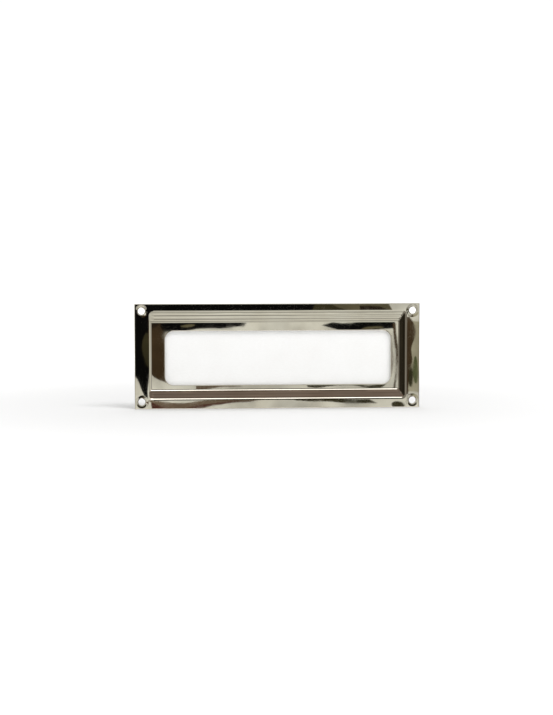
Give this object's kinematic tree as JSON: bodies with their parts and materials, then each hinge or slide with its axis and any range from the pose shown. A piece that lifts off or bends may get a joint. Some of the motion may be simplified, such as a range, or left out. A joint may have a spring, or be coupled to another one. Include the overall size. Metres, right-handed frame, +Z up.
{
  "type": "label holder plate",
  "caption": "Open-window letter plate that holds a card: pressed frame with bevelled border, side slot for a sliding card and corner fixing holes.",
  "frame": {"origin": "middle of the four corner holes, on the flat back of the flange", "axes": "+X along the plate's length, away from the open end of the card slot; +Y into the door or drawer, so the front faces -Y; +Z up"},
  "size_m": [0.0952, 0.0032, 0.035],
  "materials": {
    "polished_nickel": "mirror polished, warm nickel plate",
    "card": "matt white card stock"
  },
  "bodies": {
    "frame": {"frame_plate": "polished_nickel"},
    "card": {"label_card": "card"}
  },
  "joints": [
    {"name": "card_slide", "type": "slide", "parent": "frame", "child": "card", "axis": [-1, 0, 0], "range_m": [0, 0.082]}
  ]
}
